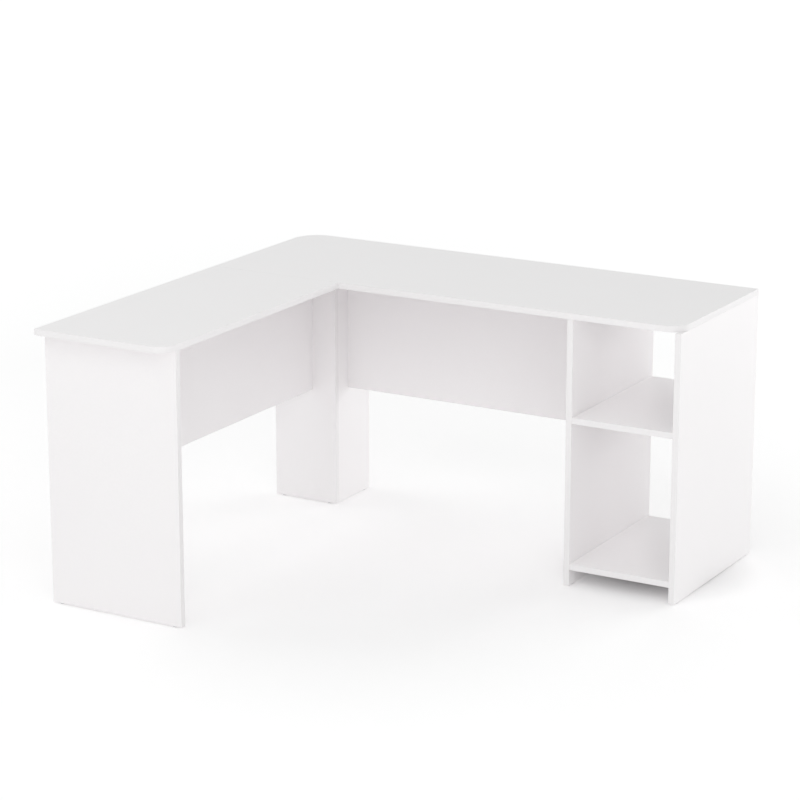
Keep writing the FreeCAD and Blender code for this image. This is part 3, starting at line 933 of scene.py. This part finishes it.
def bolt_places(locks):
    """Where each cam bolt's collar stands, facing its cam."""
    places = []
    for points in solids("cam_bolts"):
        low, high = box_of(points)
        middle = (low + high) / 2
        axis = axes_by_size(low, high)[2]
        sign = 1 if nearest(middle, locks)[axis] > middle[axis] else -1
        origin = middle.copy()
        origin[axis] = (high if sign > 0 else low)[axis] - sign * BOLT_REACH
        places.append(placed(origin, axis_vector(axis, sign)))
    return places


def cover_places(locks):
    """Where each cover lies on its board, facing away from its cam."""
    places = []
    for points in solids("cam_covers"):
        low, high = box_of(points)
        middle = (low + high) / 2
        axis = axes_by_size(low, high)[0]
        sign = 1 if middle[axis] > nearest(middle, locks)[axis] else -1
        origin = middle.copy()
        origin[axis] = (low if sign > 0 else high)[axis]
        places.append(placed(origin, axis_vector(axis, sign)))
    return places


def dowel_places():
    """The middle of each dowel, along its axis."""
    return [placed(middle_of(points), axis_vector(axes_by_size(*box_of(points))[2]))
            for points in solids("wood_dowels")]


def glide_places():
    """Where each glide's pad meets its board."""
    places = []
    for points in solids("floor_glides"):
        low, high = box_of(points)
        middle = (low + high) / 2
        places.append(Matrix.Translation((middle.x, middle.y, low.z + GLIDE_HEIGHT)))
    return places


def plate_places():
    """The middle of each seam plate's upper face."""
    places = []
    for points in solids("seam_plates"):
        low, high = box_of(points)
        middle = (low + high) / 2
        places.append(Matrix.Translation((middle.x, middle.y, high.z)))
    return places


def bracket_places():
    """The bend of each angle bracket, with X along its upper leg."""
    places = []
    for points in solids("angle_brackets"):
        low, high = box_of(points)
        middle = (low + high) / 2
        reach = 0 if high.x - low.x < high.y - low.y else 1
        hanging = [point[reach] for point in points if point.z < low.z + MM]
        sign = 1 if sum(hanging) / len(hanging) < middle[reach] else -1
        origin = middle.copy()
        origin.z = high.z
        origin[reach] = (low if sign > 0 else high)[reach]
        away = axis_vector(reach, sign)
        turn = Matrix.Rotation(math.atan2(away.y, away.x), 4, "Z")
        places.append(Matrix.Translation(origin) @ turn)
    return places


def fastenings(finishes):
    """Detailed fastenings in place of the CAD's plain ones."""
    locks = [middle_of(points) for points in solids("cam_locks")]
    groups = [
        ("pan_head_screws", screw_shape(), screw_places(), "bright_steel", "wood_screws"),
        ("threaded_cam_bolts", bolt_shape(), bolt_places(locks), "bright_steel", "cam_bolts"),
        ("fluted_dowels", dowel_shape(), dowel_places(), "beech", "wood_dowels"),
        ("dished_cam_covers", cover_shape(), cover_places(locks), "white_plastic", "cam_covers"),
        ("rounded_glides", glide_shape(), glide_places(), "grey_plastic", "floor_glides"),
        ("rounded_seam_plates", plate_shape(), plate_places(), "plated_steel", "seam_plates"),
        ("bent_angle_brackets", bracket_shape(), bracket_places(), "plated_steel",
         "angle_brackets"),
    ]
    for name, prototype, places, slot, node in groups:
        add_piece(name, copies(name, prototype, places), finishes[slot], node)


# Stage ----------------------------------------------------------------------------------------

def floor(shaded):
    """A wide pale floor with a faint glow, so that it comes out white round the soft shadows.
    The glow is stronger far from the desk. Round one point it fades out, which paints a shade on
    the floor under the tower's bottom shelf."""
    mesh = bpy.data.meshes.new("floor")
    signs = [(-1, -1), (1, -1), (1, 1), (-1, 1)]
    corners = [(x * FLOOR_REACH, y * FLOOR_REACH, 0) for x, y in signs]
    mesh.from_pydata(corners, [], [(0, 1, 2, 3)])
    plane = bpy.data.objects.new("floor", mesh)
    bpy.context.scene.collection.objects.link(plane)
    m = Nodes("pale_floor")
    m.set(Roughness=0.9, Specular_IOR_Level=0.0)
    m.shader.inputs["Base Color"].default_value = (*FLOOR_COLOUR, 1)
    m.shader.inputs["Emission Color"].default_value = (1, 1, 1, 1)
    place = m.place()
    glow = m.span(m.length(place), *GLOW_DISTANCES, GLOW_NEAR, GLOW_FAR)
    # Painted shade: the glow is cut out round the point under the tower's bottom shelf, so the
    # floor comes out darker there
    painted_shade_under_shelf = m.span(m.length(m.shifted(place, shaded)), *PAINTED_SHADE_DISTANCES, 0.0, 1.0)
    m.join(m.maths("MULTIPLY", glow, painted_shade_under_shelf), m.shader.inputs["Emission Strength"])
    mesh.materials.append(m.material)


def sky(horizon, zenith):
    """Pale surroundings, with one brightness near the horizon and another overhead."""
    world = bpy.data.worlds.new("studio")
    bpy.context.scene.world = world
    world.use_nodes = True
    tree = world.node_tree
    background = tree.nodes["Background"]
    background.inputs["Color"].default_value = (*LIGHT_TINT, 1)
    direction = tree.nodes.new("ShaderNodeTexCoord")
    parts = tree.nodes.new("ShaderNodeSeparateXYZ")
    fade = tree.nodes.new("ShaderNodeMapRange")
    set_range(fade, *SKY_FADE, horizon, zenith)
    tree.links.new(direction.outputs["Generated"], parts.inputs["Vector"])
    tree.links.new(parts.outputs["Z"], fade.inputs["Value"])
    tree.links.new(fade.outputs["Result"], background.inputs["Strength"])


def direction_to(azimuth, elevation):
    """A unit vector out from the desk. Azimuth 0 is in front of it and 90 is at its right."""
    turn = math.radians(azimuth)
    rise = math.radians(elevation)
    level = math.cos(rise)
    return Vector((math.sin(turn) * level, -math.cos(turn) * level, math.sin(rise)))


def area_light(name, place, aim, size, power):
    """A soft rectangular light at a place, aimed at a point, which the camera doesn't see."""
    data = bpy.data.lights.new(name, "AREA")
    data.shape = "RECTANGLE"
    data.size, data.size_y = size
    data.energy = power
    data.color = LIGHT_TINT
    light = bpy.data.objects.new(name, data)
    bpy.context.scene.collection.objects.link(light)
    light.location = place
    light.rotation_euler = (place - aim).to_track_quat("Z", "Y").to_euler()
    light.visible_camera = False
    return light


def softbox(name, azimuth, elevation, power, shines=True):
    """A large light aimed at the desk. One that doesn't shine leaves no gloss on the boards."""
    aim = Vector((0, 0, SOFTBOX_AIM_HEIGHT))
    place = aim + SOFTBOX_DISTANCE * direction_to(azimuth, elevation)
    light = area_light(name, place, aim, SOFTBOX_SIZE, power)
    light.visible_glossy = shines


def shelf_light(low, high):
    """A small dim light behind the open tower, in a narrow beam onto its middle shelf. It leaves
    no gloss on the boards."""
    place = Vector((low.x, high.y, high.z)) + SHELF_LIGHT_OFFSET
    aim = Vector(((low.x + high.x) / 2, (low.y + high.y) / 2, high.z))
    light = area_light("shelf_light", place, aim, SHELF_LIGHT_SIZE, SHELF_LIGHT_POWER)
    light.data.spread = math.radians(SHELF_LIGHT_BEAM)
    light.visible_glossy = False


def camera(low, high):
    """A long lens to the front right of the desk, a little above it."""
    centre = (low + high) / 2
    data = bpy.data.cameras.new("camera")
    data.lens = CAMERA_LENS
    data.sensor_width = CAMERA_SENSOR
    data.clip_end = CAMERA_FARTHEST
    eye = bpy.data.objects.new("camera", data)
    bpy.context.scene.collection.objects.link(eye)
    eye.location = centre + direction_to(CAMERA_AZIMUTH, CAMERA_ELEVATION) * CAMERA_DISTANCE
    aim = centre + CAMERA_AIM_OFFSET
    eye.rotation_euler = (aim - eye.location).to_track_quat("-Z", "Y").to_euler()
    bpy.context.scene.camera = eye


# The desk in its studio -----------------------------------------------------------------------

level_band = edge_band("edge_band_level", (ALONG_LINES, ALONG_LINES, ACROSS_LINES))
upright_band = edge_band("edge_band_upright", (ACROSS_LINES, ACROSS_LINES, ALONG_LINES))
finishes = {
    "white_melamine": melamine(),
    "edge_band": level_band,
    "white_plastic": moulded("white_plastic", dark=(0.86, 0.85, 0.84), light=(0.90, 0.89, 0.88),
                             gloss=0.34),
    "grey_plastic": moulded("grey_plastic", dark=(0.62, 0.62, 0.63), light=(0.70, 0.70, 0.71),
                            gloss=0.38),
    "beech": beech(),
    "bright_steel": turned_steel(),
    "plated_steel": plated_sheet(),
    "cast_zinc": cast_zinc(),
}
for part in frame["record"]["subparts"]:
    node = frame["nodes"][part["node"]]
    node.data.materials.clear()
    node.data.materials.append(finishes[part["material_slot"]])
edge_bands(level_band, upright_band)
fastenings(finishes)

# The point under the tower's bottom shelf, round which the floor's glow is cut out to paint a shade
shelf_low, shelf_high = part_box("tower_bottom_shelf")
under_tower = (shelf_low + shelf_high) / 2
under_tower.z = 0
floor(under_tower)
sky(horizon=0.68, zenith=0.67)
softbox("front_key", azimuth=-10, elevation=52, power=22)
softbox("front_right_fill", azimuth=35, elevation=30, power=32, shines=False)
softbox("left_fill", azimuth=-90, elevation=40, power=31)
softbox("rear_right_rim", azimuth=150, elevation=14, power=48)
shelf_light(*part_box("tower_middle_shelf"))
camera(cad_low, cad_high)
bpy.context.scene.view_settings.view_transform = "Standard"
